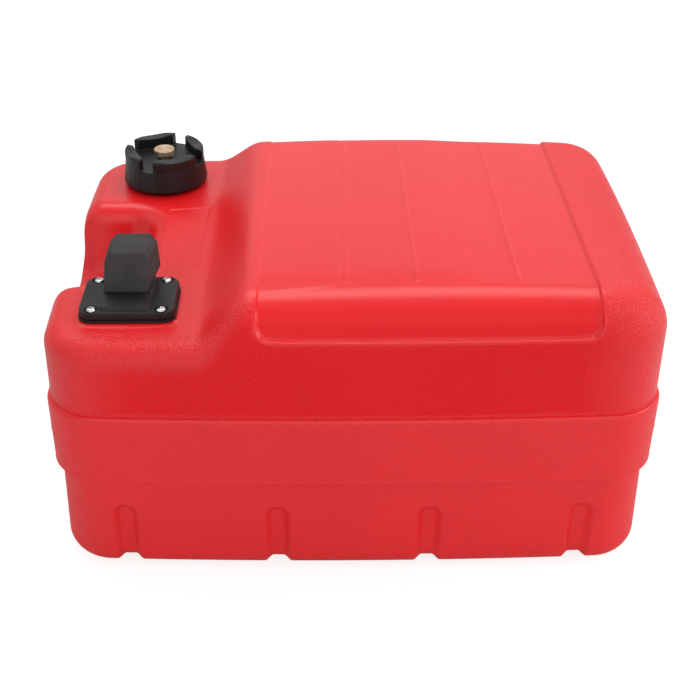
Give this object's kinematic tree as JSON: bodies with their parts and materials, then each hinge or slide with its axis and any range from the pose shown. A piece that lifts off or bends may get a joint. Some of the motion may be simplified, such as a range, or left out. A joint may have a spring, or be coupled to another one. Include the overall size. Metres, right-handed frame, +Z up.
{
  "type": "portable fuel tank",
  "caption": "Portable red fuel tank with a raised ribbed top, hand-grip pocket, screw filler cap with air vent, and a covered male fuel joint.",
  "frame": {"origin": "middle of the tank's underside, on the surface it stands on", "axes": "+X along the length, from the filler and fitting end to the other end; +Y from the front with the fuel fitting to the back with the filler cap; +Z up"},
  "size_m": [0.445, 0.308, 0.2382],
  "materials": {
    "tank_red": "satin moulded polyethylene with a fine grain on the bands",
    "cap_black": "semi-matt moulded plastic",
    "plate_black": "satin moulded plastic",
    "cover_rubber": "matt rubber",
    "seal_rubber": "smooth rubber",
    "brass": "turned and slightly dulled",
    "screw_chrome": "bright plated",
    "spring_steel": "drawn wire",
    "tube_plastic": "smooth extruded tube",
    "strainer_nylon": "natural nylon"
  },
  "bodies": {
    "tank": {"tank_shell": "tank_red", "flange_plate": "plate_black", "flange_gasket": "seal_rubber", "flange_screw_1": "screw_chrome", "flange_screw_2": "screw_chrome", "flange_screw_3": "screw_chrome", "flange_screw_4": "screw_chrome", "flange_insert_1": "brass", "flange_insert_2": "brass", "flange_insert_3": "brass", "flange_insert_4": "brass", "fuel_joint_body": "plate_black", "guide_pin_1": "brass", "guide_pin_2": "brass", "valve_spring": "spring_steel", "pickup_tube": "tube_plastic", "pickup_strainer": "strainer_nylon"},
    "cap_ring": {"cap_seal": "seal_rubber"},
    "cap": {"filler_cap": "cap_black", "vent_bush": "brass"},
    "vent_washer": {"vent_seal": "seal_rubber"},
    "vent": {"vent_screw": "brass"},
    "cover": {"dust_cover": "cover_rubber"},
    "valve": {"valve_poppet": "brass", "poppet_seal": "seal_rubber"}
  },
  "joints": [
    {"name": "cap_lift", "type": "slide", "parent": "tank", "child": "cap_ring", "axis": [0, 0, 1], "range_m": [0, 0.0126]},
    {"name": "cap_turn", "type": "hinge", "parent": "cap_ring", "child": "cap", "pos_m": [-0.151, 0.096, 0.231], "axis": [0, 0, 1], "range_deg": [0, 900]},
    {"name": "vent_lift", "type": "slide", "parent": "cap", "child": "vent_washer", "axis": [0, 0, 1], "range_m": [0, 0.0021]},
    {"name": "vent_turn", "type": "hinge", "parent": "vent_washer", "child": "vent", "pos_m": [-0.151, 0.096, 0.235], "axis": [0, 0, 1], "range_deg": [0, 720]},
    {"name": "cover_pull", "type": "slide", "parent": "tank", "child": "cover", "axis": [0, 0, 1], "range_m": [0, 0.04]},
    {"name": "valve_push", "type": "slide", "parent": "tank", "child": "valve", "axis": [0, 0, -1], "range_m": [0, 0.002], "stiffness_N_per_m": 400, "springref_m": -0.003}
  ],
  "couplings": [
    {"joint": "cap_lift", "follows": "cap_turn", "m_per_rad": 0.00079577},
    {"joint": "vent_lift", "follows": "vent_turn", "m_per_rad": 0.00015915}
  ]
}
